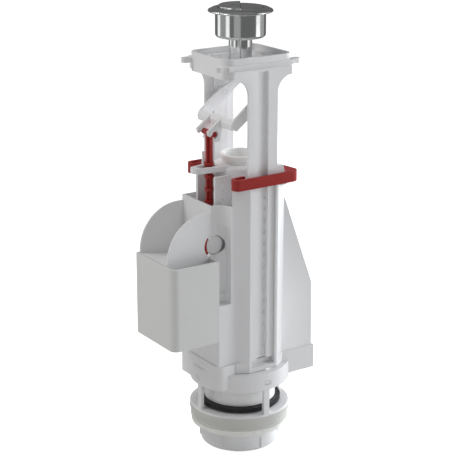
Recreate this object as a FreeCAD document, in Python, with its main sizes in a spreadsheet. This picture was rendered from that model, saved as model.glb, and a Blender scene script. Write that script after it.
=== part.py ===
import FreeCAD, Part
import math
import os
import re
import Sketcher
from FreeCAD import Placement, Rotation, Vector

# A dual flush valve that stands in the floor of a toilet cistern. The valve axis is the Z axis,
# the origin lies on it at the open end of the outlet, -X points to the side cup and -Y to the
# front leg of the bridge. Lengths are millimetres and angles are degrees.

SIZES = {
    # outlet spigot and the flange stack on the cistern floor
    "spigot_radius": 29.5,
    "spigot_wall": 3.2,
    "spigot_edge": 2.4,
    "tail_height": 13.0,
    "rib_count": 6,
    "rib_width": 1.2,
    "rib_depth": 0.9,
    "rib_height": 8.0,
    "cone_height": 9.0,
    "cone_step": 0.6,
    "cone_lip": 1.3,
    "cone_fit": 0.1,
    "ring_step": 1.0,
    "ring_height": 4.6,
    "flange_radius": 38.0,
    "flange_height": 5.5,
    "flange_bevel": 0.8,
    "seat_bore": 24.0,
    "seat_lip_radius": 28.0,
    "seat_lip_width": 2.0,
    "seat_lip_height": 0.6,
    # posts that carry the housing over the seat
    "post_count": 4,
    "post_radius": 35.0,
    "post_thickness": 2.6,
    "post_width": 5.0,
    "post_fit": 0.25,
    "window_height": 19.9,
    "post_grip": 9.6,
    "hook_depth": 0.9,
    "hook_height": 2.6,
    # base skirt with its ring band
    "band_radius": 37.4,
    "band_inner": 31.6,
    "band_height": 13.5,
    "band_lip_inner": 28.6,
    "band_lip": 1.6,
    "skirt_drop": 2.7,
    "skirt_height": 18.6,
    "skirt_left": 36.3,
    "skirt_right": 51.0,
    "skirt_half": 25.6,
    "near_corner": 6.0,
    "far_corner": 1.8,
    "skirt_wall": 2.0,
    # housing
    "housing_left": 35.2,
    "housing_right": 49.2,
    "housing_half": 24.6,
    "housing_wall": 1.8,
    "housing_corner": 1.2,
    "housing_height": 120.7,
    "shoulder_height": 50.8,
    "shoulder_right": 48.4,
    "apex_right": 22.8,
    "scoop_radius": 11.0,
    "scoop_wall": 1.8,
    "scoop_centre": 25.6,
    "scoop_rise": 47.7,
    "shelf_thickness": 2.0,
    "slot_right": 24.4,
    "slot_left": 31.0,
    "slot_rise": 10.0,
    "slot_over_dial": 11.4,
    "dial_centre": 31.5,
    "dial_rise": 6.6,
    "dial_hole": 9.6,
    "slot_border": 4.0,
    "slot_backing": 1.2,
    "tube_guide_drop": 10.0,
    "tube_guide_thickness": 3.0,
    "tube_guide_wall": 2.2,
    "tube_run": 0.5,
    # guide channels of the bridge legs
    "guide_foot_gap": 0.3,
    "guide_rise": 13.1,
    "guide_reach": 31.2,
    "guide_front": 12.2,
    "guide_root": 23.2,
    "guide_mouth": 10.4,
    "leg_fit": 0.3,
    "block_right": 21.8,
    "block_top_right": 18.4,
    "block_rise": 13.0,
    "block_reach": 28.4,
    # side cup
    "cup_reach": 74.5,
    "cup_half": 25.9,
    "cup_wall": 1.8,
    "cup_floor": 2.0,
    "cup_foot_round": 1.2,
    "cup_rise": 20.2,
    "cup_height": 62.5,
    # chamber walls inside the cup
    "fan_radius": 32.0,
    "fan_centre": 40.0,
    "fan_rise": 2.0,
    "fan_drop": 44.0,
    "fan_wall": 1.6,
    "near_fan": 15.5,
    "cup_fit": 0.1,
    "deck_thickness": 1.6,
    "deck_rise": 5.5,
    # rod guide inside the housing
    "channel_left": 30.0,
    "channel_right": 15.8,
    "channel_half": 12.4,
    "channel_wall": 1.8,
    "channel_rise": 20.0,
    "channel_slot_left": 22.8,
    "channel_slot_right": 18.6,
    "channel_slot_drop": 4.0,
    "bead_count": 3,
    "bead_pitch": 6.0,
    "bead_height": 3.0,
    "bead_depth": 0.9,
    # volume clip
    "clip_outer": 9.3,
    "clip_width": 2.4,
    "clip_thickness": 1.2,
    "dial_boss_rise": 1.6,
    "clip_chord": 6.3,
    "clip_nub": 1.1,
    "clip_nub_rise": 5.2,
    "clip_gap": 0.3,
    # height clamps
    "clamp_gap": 0.3,
    "clamp_height": 8.2,
    "clamp_band": 2.0,
    "clamp_reach": 33.2,
    "clamp_left": 26.0,
    "clamp_right": 31.2,
    "clamp_return": 13.3,
    "clamp_return_face": 24.2,
    "clamp_tail": 9.5,
    "clamp_tail_shift": 3.6,
    "clamp_small_bend": 4.2,
    "clamp_large_bend": 6.5,
    "clamp_key": 3.6,
    "clamp_key_gap": 0.6,
    # overflow tube and lift bracket
    "tube_radius": 13.0,
    "tube_wall": 1.6,
    "tube_rise": 32.0,
    "rim_radius": 15.0,
    "rim_height": 3.4,
    "tube_fit": 0.15,
    "bracket_drop": 6.2,
    "bracket_radius": 20.2,
    "bracket_wall": 1.8,
    "bracket_hub": 2.2,
    "bracket_height": 10.6,
    "bracket_step": 0.6,
    "bracket_run": 0.6,
    "bracket_round": 2.6,
    "tongue_thickness": 3.8,
    "tongue_root_half": 9.0,
    "tongue_tip_half": 5.0,
    "tongue_reach": 42.0,
    "tongue_slot_half": 3.0,
    "tongue_slot_end": 36.2,
    "key_hole": 4.3,
    "tab_height": 9.5,
    "tab_half": 2.0,
    "tab_place": 6.8,
    "tab_thickness": 1.4,
    # valve plate, seal and retainer
    "plate_radius": 27.0,
    "plate_edge": 3.0,
    "plate_shoulder": 25.4,
    "plate_shoulder_rise": 12.2,
    "plate_height": 15.2,
    "plate_neck": 17.0,
    "seal_radius": 31.0,
    "seal_inner": 19.0,
    "seal_thickness": 3.4,
    "seat_gap": 0.3,
    "retainer_radius": 22.8,
    "retainer_thickness": 4.4,
    # floats
    "float_left": 14.2,
    "float_right": 42.0,
    "float_shoulder": 31.0,
    "float_half": 18.5,
    "float_rise": 14.7,
    "float_skirt": 24.0,
    "float_slope": 38.0,
    "float_wall": 2.5,
    "float_corner": 3.0,
    "float_fit": 0.3,
    "side_float_gap": 1.2,
    "side_float_height": 34.0,
    "side_float_corner": 4.0,
    # bridge
    "bridge_rise": 59.7,
    "collar_half_x": 28.7,
    "collar_half_y": 24.8,
    "collar_height": 14.1,
    "collar_corner": 7.0,
    "collar_wall": 2.0,
    "collar_floor": 10.2,
    "collar_opening_x": 20.5,
    "collar_opening_y": 17.5,
    "ledge_drop": 7.9,
    "ledge_height": 3.6,
    "ledge_proud": 2.3,
    "lug_reach": 35.6,
    "lug_half": 2.9,
    "leg_half": 12.6,
    "leg_thickness": 4.0,
    "leg_inner": 24.9,
    "leg_sheet": 1.8,
    "trough_half": 6.0,
    "groove_half": 4.5,
    "groove_depth": 2.8,
    "gusset_radius": 12.0,
    "leg_foot_gap": 0.7,
    "notch_count": 15,
    "notch_pitch": 8.8,
    "notch_height": 3.0,
    "notch_width": 2.4,
    "notch_depth": 0.6,
    "boss_radius": 4.0,
    # rocker and its pins
    "pivot_drop": 18.7,
    "pin_radius": 2.0,
    "pin_run": 0.15,
    "arm_outer": 22.2,
    "arm_thickness": 2.2,
    "bar_left": 22.5,
    "bar_right": 18.7,
    "bar_top": 10.9,
    "bar_bottom": 18.5,
    "pad_left": 12.5,
    "pad_right": 17.5,
    "pad_rise": 12.2,
    "pad_thickness": 2.4,
    "ear_place": 7.0,
    "ear_thickness": 2.2,
    # pull rod
    "rod_place": 26.9,
    "hook_drop": 22.9,
    "cross_radius": 2.15,
    "cross_half": 7.0,
    "hook_run": 0.3,
    "rod_half": 2.6,
    "rod_web": 0.9,
    "rod_length": 54.4,
    "knob_radius": 3.6,
    "knob_height": 2.2,
    "knob_drop": 22.7,
    "knob_pitch": 9.45,
    "knob_count": 4,
    # push plate
    "push_gap": 0.3,
    "push_thickness": 2.4,
    "push_left": 3.0,
    "push_right": 17.0,
    "push_half": 12.0,
    "push_corner": 2.0,
    # button
    "button_turn": -33.7,
    "button_gap": 10.6,
    "body_radius": 18.1,
    "body_height": 18.0,
    "body_wall": 1.5,
    "body_floor": 2.0,
    "body_round": 2.4,
    "cap_radius": 23.4,
    "cap_rise": 3.4,
    "cap_edge": 1.5,
    "half_radius": 16.2,
    "half_fit": 0.4,
    "half_thickness": 4.0,
    "small_lift": 1.3,
    "large_lift": 0.6,
    "split_gap": 0.3,
    "plunger_radius": 8.4,
    "plunger_run": 0.5,
    "small_stop": 8.0,
    "coil_place": 12.7,
    "coil_radius": 2.1,
    "coil_wire": 0.35,
    "coil_turns": 4,
}

document = FreeCAD.newDocument("flush_valve")
sheet = document.addObject("Spreadsheet::Sheet", "Size")
for row, (word, value) in enumerate(SIZES.items(), start=1):
    sheet.set(f"A{row}", word)
    sheet.set(f"B{row}", str(value))
    sheet.setAlias(f"B{row}", word)
document.recompute()

# Heights, each from the one below it.
ring_base = "(tail_height + cone_height)"
flange_base = f"({ring_base} + ring_height)"
flange_top = f"({flange_base} + flange_height)"
band_base = f"({flange_top} + window_height)"
band_top = f"({band_base} + band_height)"
skirt_base = f"({band_base} + skirt_drop)"
skirt_top = f"({skirt_base} + skirt_height)"
housing_top = f"({skirt_top} + housing_height)"
cup_base = f"({skirt_top} + cup_rise)"
cup_top = f"({cup_base} + cup_height)"
fan_level = f"({cup_top} + fan_rise)"
fan_base = f"({cup_top} - fan_drop)"
dial_level = f"({fan_level} + dial_rise)"
scoop_base = f"({skirt_top} + scoop_rise)"
slot_base = f"({scoop_base} + slot_rise)"
slot_top = f"({dial_level} + slot_over_dial)"
channel_slot_top = f"({housing_top} - channel_slot_drop)"
float_base = f"({skirt_top} + float_rise)"
float_bend = f"({float_base} + float_skirt)"
float_top = f"({float_bend} + float_slope)"
guide_top = f"({housing_top} + guide_rise)"
clamp_base = f"({guide_top} + clamp_gap)"
seal_base = f"({flange_top} + seat_lip_height + seat_gap)"
plate_base = f"({seal_base} + seal_thickness)"
tube_base = f"({seal_base} - retainer_thickness)"
tube_top = f"({housing_top} + tube_rise)"
tongue_top = f"({tube_top} - bracket_drop)"
tongue_base = f"({tongue_top} - tongue_thickness)"
collar_base = f"({tube_top} + bridge_rise)"
collar_top = f"({collar_base} + collar_height)"
pivot_level = f"({collar_base} - pivot_drop)"
pin_level = f"({pivot_level} - hook_drop)"
pad_top = f"({pivot_level} + pad_rise)"
push_base = f"({pad_top} + push_gap)"
push_top = f"({push_base} + push_thickness)"
body_base = f"({collar_top} + button_gap)"
body_top = f"({body_base} + body_height)"
cap_top = f"({body_top} + cap_rise)"
half_base = f"({cap_top} - half_thickness + large_lift)"


def bound(text):
    """An expression with the sheet's name put before each size in it."""
    return re.sub(r"[a-z_]+", lambda found: "Size." + found[0] if found[0] in SIZES else found[0], str(text))


def new_body(name):
    body = document.addObject("PartDesign::Body", name)
    body.Label = name
    return body


def datum(body, role):
    return next(item for item in body.Origin.OriginFeatures if item.Role == role)


def pin_point(sketch, geometry, end, x, y):
    """Hold one point of a sketch at x, y from its origin."""
    for kind, place in (("DistanceX", x), ("DistanceY", y)):
        index = sketch.addConstraint(Sketcher.Constraint(kind, -1, 1, geometry, end, 1.0))
        sketch.setExpression(f"Constraints[{index}]", bound(place))


def polygon(*points):
    """A closed outline of straight edges through the given points."""
    def draw(sketch):
        count = len(points)
        first = sketch.GeometryCount
        turn = 2 * math.pi / count
        guess = [Vector(40 * math.cos(turn * i), 40 * math.sin(turn * i), 0) for i in range(count)]
        edges = [Part.LineSegment(guess[i], guess[(i + 1) % count]) for i in range(count)]
        sketch.addGeometry(edges, False)
        for i in range(count):
            following = first + (i + 1) % count
            sketch.addConstraint(Sketcher.Constraint("Coincident", first + i, 2, following, 1))
        for i, (x, y) in enumerate(points):
            pin_point(sketch, first + i, 1, x, y)
    return draw


def rectangle(left, right, low, high):
    return polygon((left, low), (right, low), (right, high), (left, high))


def circle(x, y, radius):
    def draw(sketch):
        index = sketch.addGeometry(Part.Circle(Vector(1, 1, 0), Vector(0, 0, 1), 5), False)
        pin_point(sketch, index, 3, x, y)
        size = sketch.addConstraint(Sketcher.Constraint("Radius", index, 5))
        sketch.setExpression(f"Constraints[{size}]", bound(radius))
    return draw


def new_sketch(body, name, role, offset, loops):
    """A sketch on one of the body's own planes, moved along that plane's normal."""
    sketch = body.newObject("Sketcher::SketchObject", f"{body.Name}_{name}_sketch")
    sketch.AttachmentSupport = (datum(body, role), [""])
    sketch.MapMode = "FlatFace"
    sketch.setExpression("AttachmentOffset.Base.z", bound(offset))
    for draw in loops:
        draw(sketch)
    return sketch


def extrude(kind, body, name, role, offset, length, loops):
    sketch = new_sketch(body, name, role, offset, loops)
    feature = body.newObject("PartDesign::" + kind, f"{body.Name}_{name}")
    feature.Profile = sketch
    feature.setExpression("Length", bound(length))
    return feature


def rise(body, name, low, high, *loops):
    """Material between two heights."""
    return extrude("Pad", body, name, "XY_Plane", low, f"{high} - ({low})", loops)


def sink(body, name, low, high, *loops):
    """A cut between two heights."""
    return extrude("Pocket", body, name, "XY_Plane", high, f"{high} - ({low})", loops)


def across(body, name, low, high, *loops):
    """Material between two places along Y, from an outline in X and Z."""
    return extrude("Pad", body, name, "XZ_Plane", f"-({high})", f"{high} - ({low})", loops)


def cut_across(body, name, low, high, *loops):
    return extrude("Pocket", body, name, "XZ_Plane", f"-({low})", f"{high} - ({low})", loops)


def turn(kind, body, name, points):
    sketch = new_sketch(body, name, "XZ_Plane", "0", [polygon(*points)])
    feature = body.newObject("PartDesign::" + kind, f"{body.Name}_{name}")
    feature.Profile = sketch
    feature.ReferenceAxis = (sketch, ["V_Axis"])
    feature.Angle = 360
    return feature


def spin(body, name, *points):
    """A turned form about the valve axis, from points of radius and height."""
    return turn("Revolution", body, name, points)


def groove(body, name, *points):
    return turn("Groove", body, name, points)


def repeat_round(body, feature, count):
    pattern = body.newObject("PartDesign::PolarPattern", feature.Name + "_round")
    pattern.Originals = [feature]
    pattern.Axis = (datum(body, "Z_Axis"), [""])
    pattern.Angle = 360
    pattern.setExpression("Occurrences", bound(count))
    body.Tip = pattern
    return pattern


def repeat_up(body, feature, pitch, count):
    pattern = body.newObject("PartDesign::LinearPattern", feature.Name + "_row")
    pattern.Originals = [feature]
    pattern.Direction = (datum(body, "Z_Axis"), [""])
    pattern.setExpression("Length", bound(f"{pitch} * ({count} - 1)"))
    pattern.setExpression("Occurrences", bound(count))
    body.Tip = pattern
    return pattern


def soften(body, name, radius, choose):
    """Round the edges of the last feature that a test picks."""
    document.recompute()
    base = body.Tip
    edges = base.Shape.Edges
    names = [f"Edge{i + 1}" for i, edge in enumerate(edges) if choose(edge)]
    feature = body.newObject("PartDesign::Fillet", f"{body.Name}_{name}")
    feature.Base = (base, names)
    feature.setExpression("Radius", bound(radius))
    return feature


def size(text):
    """The present value of a size or height, for picking edges."""
    total = 0.0
    sign = 1.0
    for word in re.findall(r"[a-z_]+|[+-]|[0-9.]+", text):
        if word in "+-":
            sign = 1.0 if word == "+" else -1.0
        else:
            total += sign * (SIZES[word] if word in SIZES else float(word))
    return total


def upright(edge):
    first, last = edge.Vertexes[0].Point, edge.Vertexes[-1].Point
    return len(edge.Vertexes) == 2 and abs(last.z - first.z) > 0.99 * edge.Length


def left_corners(body, name):
    """Round the two left upright corners of a box: widely at the near one, a little at the far one."""
    for end, side, radius in (("near", FRONT, "near_corner"), ("far", REAR, "far_corner")):
        soften(body, f"{name}_{end}", radius,
               lambda edge: upright(edge) and edge.CenterOfMass.x < body.Tip.Shape.BoundBox.XMin + 0.1
               and edge.CenterOfMass.y * side > 0)


def side_span(side, near, far):
    """Low and high Y of a piece between two distances from the middle, on either side."""
    return (f"-({far})", f"-({near})") if side < 0 else (near, far)


def on_side(side, distance):
    return f"{side} * ({distance})"


FRONT, REAR = -1, 1
SIDES = (("front", FRONT), ("rear", REAR))

# Bearings, in degrees about the scoop, of the corners of the wall behind the slot.
SLOT_BACK_BEARINGS = (14, 36, 58, 80)


def make_outlet_spigot():
    """The short pipe that goes through the cistern floor, with the lower flange ring."""
    body = new_body("outlet_spigot")
    bore = "spigot_radius - spigot_wall"
    spin(body, "pipe", (bore, "0"), ("spigot_radius", "0"), ("spigot_radius", ring_base),
         ("flange_radius - ring_step", ring_base),
         ("flange_radius - ring_step", flange_base), (bore, flange_base))
    soften(body, "end_round", "spigot_edge",
           lambda edge: len(edge.Vertexes) == 1 and abs(edge.BoundBox.ZMax) < 0.1
           and edge.BoundBox.XMax > size("spigot_radius") - 0.1)
    rib_low = "(tail_height - rib_height) / 2"
    rib = rise(body, "rib", rib_low, f"{rib_low} + rib_height",
               rectangle("-rib_width / 2", "rib_width / 2",
                         "-(spigot_radius + rib_depth)", "-(spigot_radius - rib_depth)"))
    repeat_round(body, rib, "rib_count")


def make_cistern_seal():
    """The soft tapered ring that closes the hole in the cistern floor."""
    body = new_body("cistern_seal")
    inner = "spigot_radius + cone_fit"
    foot = "spigot_radius + cone_lip"
    head = "flange_radius - cone_step"
    shoulder = f"(({head}) * 2 + {foot}) / 3"
    spin(body, "cone", (inner, "tail_height"), (foot, "tail_height"),
         (shoulder, "tail_height + cone_height / 2"),
         (head, "tail_height + cone_height * 0.85"), (head, ring_base), (inner, ring_base))


def make_valve_basket():
    """The upper flange with the valve seat and the posts that snap into the base skirt."""
    body = new_body("valve_basket")
    lip_inner = "seat_lip_radius - seat_lip_width"
    lip_top = f"{flange_top} + seat_lip_height"
    spin(body, "flange", ("seat_bore", flange_base), ("flange_radius", flange_base),
         ("flange_radius", f"{flange_top} - flange_bevel"),
         ("flange_radius - flange_bevel", flange_top), ("seat_lip_radius", flange_top),
         ("seat_lip_radius", lip_top), (lip_inner, lip_top), (lip_inner, flange_top),
         ("seat_bore", flange_top))
    outer = "post_radius + post_thickness / 2"
    post = rise(body, "post", f"{flange_top} - 1", f"{band_base} + post_grip",
                rectangle("-post_width / 2", "post_width / 2", f"-({outer})",
                          "-(post_radius - post_thickness / 2)"))
    repeat_round(body, post, "post_count")
    hook_low = f"{band_base} + post_grip - hook_height * 2"
    hook = rise(body, "hook", hook_low, f"{hook_low} + hook_height",
                rectangle("-post_width / 2", "post_width / 2", f"-({outer} + hook_depth)",
                          f"-({outer} - 0.5)"))
    repeat_round(body, hook, "post_count")


def make_base_skirt():
    """The lower shell of the housing, with the round band that takes the four posts."""
    body = new_body("base_skirt")
    rise(body, "tray", skirt_base, skirt_top,
         rectangle("-skirt_left", "skirt_right", "-skirt_half", "skirt_half"))
    left_corners(body, "tray_corner")
    sink(body, "tray_inside", f"{skirt_base} + skirt_wall", skirt_top,
         rectangle("-(skirt_left - skirt_wall)", "skirt_right - skirt_wall",
                   "-(skirt_half - skirt_wall)", "skirt_half - skirt_wall"))
    inner_left = size("skirt_left - skirt_wall")
    soften(body, "inner_corner", "near_corner - skirt_wall",
           lambda edge: upright(edge) and abs(edge.CenterOfMass.x + inner_left) < 0.1
           and edge.CenterOfMass.y < 0)
    floor = f"{skirt_base} + skirt_wall"
    spin(body, "band", ("band_inner", band_base), ("band_radius", band_base),
         ("band_radius", band_top), ("band_inner", band_top))
    groove(body, "bore", ("0", f"{band_base} - 1"), ("band_inner", f"{band_base} - 1"),
           ("band_inner", f"{floor} + 30"), ("0", f"{floor} + 30"))
    spin(body, "lip", ("band_lip_inner", band_base), ("band_inner + 1", band_base),
         ("band_inner + 1", f"{band_base} + band_lip"), ("band_lip_inner", f"{band_base} + band_lip"))
    inner = "post_radius - post_thickness / 2 - post_fit"
    outer = "post_radius + post_thickness / 2 + post_fit"
    half = "post_width / 2 + post_fit"
    socket = sink(body, "socket", f"{band_base} - 1", f"{band_base} + post_grip + post_fit",
                  rectangle(f"-({half})", half, f"-({outer})", f"-({inner})"))
    repeat_round(body, socket, "post_count")
    low = f"{band_base} + post_grip - hook_height * 2 - post_fit"
    window = sink(body, "window", low, f"{low} + hook_height + post_fit * 2",
                  rectangle(f"-({half})", half, "-(band_radius + 2)", "-post_radius"))
    repeat_round(body, window, "post_count")


def make_housing_shell():
    """The main housing: a tapering box, open at the top, with a guide channel for each leg."""
    body = new_body("housing_shell")
    shoulder = f"{skirt_top} + shoulder_height"
    outer = (("-housing_left", skirt_top), ("housing_right", skirt_top),
             ("shoulder_right", shoulder), ("apex_right", housing_top), ("-housing_left", housing_top))
    across(body, "block", "-housing_half", "housing_half", polygon(*outer))
    soften(body, "corners", "housing_corner", lambda edge: upright(edge) and edge.CenterOfMass.x < 0)
    inner_half = "housing_half - housing_wall"
    cut_across(body, "inside", f"-({inner_half})", inner_half,
               polygon(("-(housing_left - housing_wall)", f"{skirt_top} - 1"),
                       ("housing_right - housing_wall", f"{skirt_top} - 1"),
                       ("shoulder_right - housing_wall", shoulder),
                       ("apex_right - housing_wall", f"{housing_top} + 1"),
                       ("-(housing_left - housing_wall)", f"{housing_top} + 1")))
    rise(body, "shelf", f"{scoop_base} - shelf_thickness", scoop_base,
         rectangle("-(housing_left - 0.5)", "-(channel_right - 1)",
                   f"-({inner_half} + 0.5)", f"{inner_half} + 0.5"))
    sink(body, "scoop", scoop_base, f"{housing_top} + 1",
         circle("-housing_left", "-scoop_centre", "scoop_radius + scoop_wall"))
    rise(body, "scoop_wall", f"{scoop_base} - 0.5", housing_top,
         circle("-housing_left", "-scoop_centre", "scoop_radius + scoop_wall"),
         circle("-housing_left", "-scoop_centre", "scoop_radius"))
    far = "(scoop_radius + scoop_wall + 2)"
    sink(body, "scoop_trim_left", f"{scoop_base} - 0.5", f"{housing_top} + 1",
         rectangle(f"-(housing_left + {far})", "-housing_left",
                   f"-(scoop_centre + {far})", f"-(scoop_centre - {far})"))
    sink(body, "scoop_trim_front", f"{scoop_base} - 0.5", f"{housing_top} + 1",
         rectangle(f"-(housing_left + {far})", f"-(housing_left - {far})",
                   f"-(scoop_centre + {far})", "-housing_half"))
    cut_across(body, "slot", "-(housing_half + 1)", "-channel_half",
               rectangle("-slot_left", "-slot_right", slot_base, slot_top))
    middle = "(slot_left + slot_right) / 2"
    for name, level in (("slot_foot", slot_base), ("slot_head", slot_top)):
        cut_across(body, name, "-(housing_half + 1)", "-channel_half",
                   circle(f"-({middle})", level, "(slot_left - slot_right) / 2"))
    near_reach = "(scoop_radius + scoop_wall - 0.1)"
    far_reach = "(scoop_radius + scoop_wall + slot_backing)"
    arc = [(near_reach, bearing) for bearing in SLOT_BACK_BEARINGS]
    arc += [(far_reach, bearing) for bearing in reversed(SLOT_BACK_BEARINGS)]
    corners = [(f"{reach} * cos({bearing}) - housing_left", f"{reach} * sin({bearing}) - scoop_centre")
               for reach, bearing in arc]
    rise(body, "slot_back", f"{slot_base} - slot_border", f"{slot_top} + slot_border", polygon(*corners))
    cut_across(body, "dial_hole", "-(housing_half + 1)", "-channel_half",
               circle("-dial_centre", dial_level, "clip_outer - clip_width + clip_gap"))
    for name, side in SIDES:
        root = on_side(side, "housing_half - 1")
        lip = on_side(side, "guide_reach")
        rise(body, name + "_guide", skirt_top, guide_top,
             polygon(("-guide_root", root), ("-guide_front", lip),
                     ("guide_front", lip), ("guide_root", root)))
        foot = on_side(side, "skirt_half + post_fit")
        rise(body, name + "_guide_foot", f"{band_top} + guide_foot_gap", f"{skirt_top} + 1",
             polygon(("-(guide_root - 2)", foot), ("-guide_front", lip), ("guide_front", lip),
                     ("guide_root - 2", foot)))
        low, high = side_span(side, "leg_inner - leg_fit", "leg_inner + leg_thickness + leg_fit")
        sink(body, name + "_leg_way", skirt_top, f"{guide_top} + 1",
             rectangle("-(leg_half + leg_fit)", "leg_half + leg_fit", low, high))
        low, high = side_span(side, "leg_inner + 1", "guide_reach + 1")
        sink(body, name + "_mouth", f"{skirt_top} - 4", f"{guide_top} + 1",
             rectangle("-guide_mouth", "guide_mouth", low, high))
        low, high = side_span(side, "housing_half - housing_wall", "block_reach")
        across(body, name + "_block", low, high,
               polygon(("leg_half + leg_fit", f"{guide_top} - 2"), ("block_right", f"{guide_top} - 2"),
                       ("block_top_right", f"{guide_top} + block_rise"),
                       ("leg_half + leg_fit", f"{guide_top} + block_rise")))
    ring_top = f"{housing_top} - tube_guide_drop"
    ring_base_level = f"{ring_top} - tube_guide_thickness"
    outer_ring = "tube_radius + tube_run + tube_guide_wall"
    rise(body, "tube_bars", ring_base_level, ring_top,
         rectangle("-2", "2", f"-({inner_half} + 0.5)", f"{inner_half} + 0.5"))
    rise(body, "tube_ring", ring_base_level, ring_top, circle("0", "0", outer_ring))
    sink(body, "tube_bore", f"{ring_base_level} - 1", f"{ring_top} + 1",
         circle("0", "0", "tube_radius + tube_run"))


def make_side_cup():
    """The open water cup that hangs on the left wall of the housing."""
    body = new_body("side_cup")
    rise(body, "outside", cup_base, cup_top,
         rectangle("-cup_reach", "-housing_left", "-cup_half", "cup_half"))
    left_corners(body, "corner")
    sink(body, "inside", f"{cup_base} + cup_floor", cup_top,
         rectangle("-(cup_reach - cup_wall)", "-(housing_left + cup_wall)",
                   "-(cup_half - cup_wall)", "cup_half - cup_wall"))
    inner_left = size("cup_reach - cup_wall")
    soften(body, "inner_corner", "near_corner - cup_wall",
           lambda edge: upright(edge) and abs(edge.CenterOfMass.x + inner_left) < 0.1
           and edge.CenterOfMass.y < 0)
    soften(body, "foot_round", "cup_foot_round",
           lambda edge: abs(edge.BoundBox.ZMax - size(cup_base)) < 0.01
           and edge.CenterOfMass.x < -size("housing_left") - 1)


def make_chamber_walls():
    """Two quarter-round walls joined by a sloping deck, set inside the side cup."""
    body = new_body("chamber_walls")
    far_outer = "cup_half - cup_wall - cup_fit"
    fans = (("far", f"{far_outer} - fan_wall", far_outer), ("near", "-near_fan", "-(near_fan - fan_wall)"))
    left = "-(fan_centre + fan_radius)"
    across(body, "deck", "-(near_fan - fan_wall / 2)", f"{far_outer} - fan_wall / 2",
           polygon((left, cup_top), (left, f"{cup_top} - deck_thickness"),
                   ("-housing_left", f"{cup_top} - deck_thickness - deck_rise"),
                   ("-housing_left", f"{cup_top} - deck_rise")))
    for name, low, high in fans:
        across(body, name + "_sheet", low, high, polygon(
            (left, fan_base), ("-housing_left", fan_base), ("-housing_left", f"{fan_level} + fan_radius"),
            ("-fan_centre", f"{fan_level} + fan_radius"), ("-fan_centre", fan_level), (left, fan_level)))
        across(body, name + "_fan", low, high, circle("-fan_centre", fan_level, "fan_radius"))
    cut_across(body, "trim", "-cup_half", "cup_half",
               rectangle("-housing_left", "fan_radius", f"{fan_base} - 20", f"{fan_level} + fan_radius + 5"))
    cut_across(body, "cup_notch", "-cup_half", "cup_half",
               rectangle("-(housing_left + cup_wall + cup_fit)", "-(housing_left - 1)",
                         f"{fan_base} - 20", f"{cup_top} + cup_fit"))
    cut_across(body, "dial_hole", "-(near_fan + 1)", "-(near_fan - fan_wall - 1)",
               circle("-dial_centre", dial_level, "dial_hole"))


def make_rod_guide():
    """The upright channel that the pull rod runs down, open towards the cup."""
    body = new_body("rod_guide")
    top = f"{housing_top} + channel_rise"
    rise(body, "block", scoop_base, top,
         rectangle("-channel_left", "-channel_right", "-channel_half", "channel_half"))
    inner = "channel_half - channel_wall"
    sink(body, "inside", f"{scoop_base} + channel_wall", f"{top} + 1",
         rectangle("-(channel_left + 1)", "-(channel_right + channel_wall)", f"-({inner})", inner))
    cut_across(body, "slot", "-(channel_half + 1)", "-(channel_half - bead_depth)",
               rectangle("-channel_slot_left", "-channel_slot_right", slot_base, channel_slot_top))
    across(body, "dial_boss", "-(channel_half + dial_boss_rise)", "-channel_half",
           circle("-dial_centre", dial_level, "clip_outer - clip_width - clip_gap"))
    bead = rise(body, "bead", housing_top, f"{housing_top} + bead_height",
                rectangle("-(channel_slot_left + 1.4)", "-channel_slot_left",
                          "-(channel_half + bead_depth)", "-(channel_half - 0.5)"))
    repeat_up(body, bead, "bead_pitch", "bead_count")
    foot = f"{tongue_top} - bracket_step - bracket_height - bracket_run"
    clear = "bracket_radius + bracket_run"
    groove(body, "bracket_way", ("0", foot), (clear, foot), (clear, f"{top} + 1"), ("0", f"{top} + 1"))


def make_volume_clip():
    """The red crescent in the round hole, with a nub at each end."""
    body = new_body("volume_clip")
    front = "-(channel_half + clip_gap)"
    back = f"{front} - clip_thickness"
    across(body, "ring", back, front, circle("-dial_centre", dial_level, "clip_outer"),
           circle("-dial_centre", dial_level, "clip_outer - clip_width"))
    cut_across(body, "opening", f"{back} - 1", f"{front} + 1",
               rectangle("-(dial_centre + clip_chord)", "-(dial_centre - clip_outer - 1)",
                         f"{dial_level} - clip_outer - 1", f"{dial_level} + clip_outer + 1"))
    for name, sign in (("upper", 1), ("lower", -1)):
        across(body, name + "_nub", back, front,
               circle("-(dial_centre + clip_chord)", f"{dial_level} + {sign} * clip_nub_rise", "clip_nub"))


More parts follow.
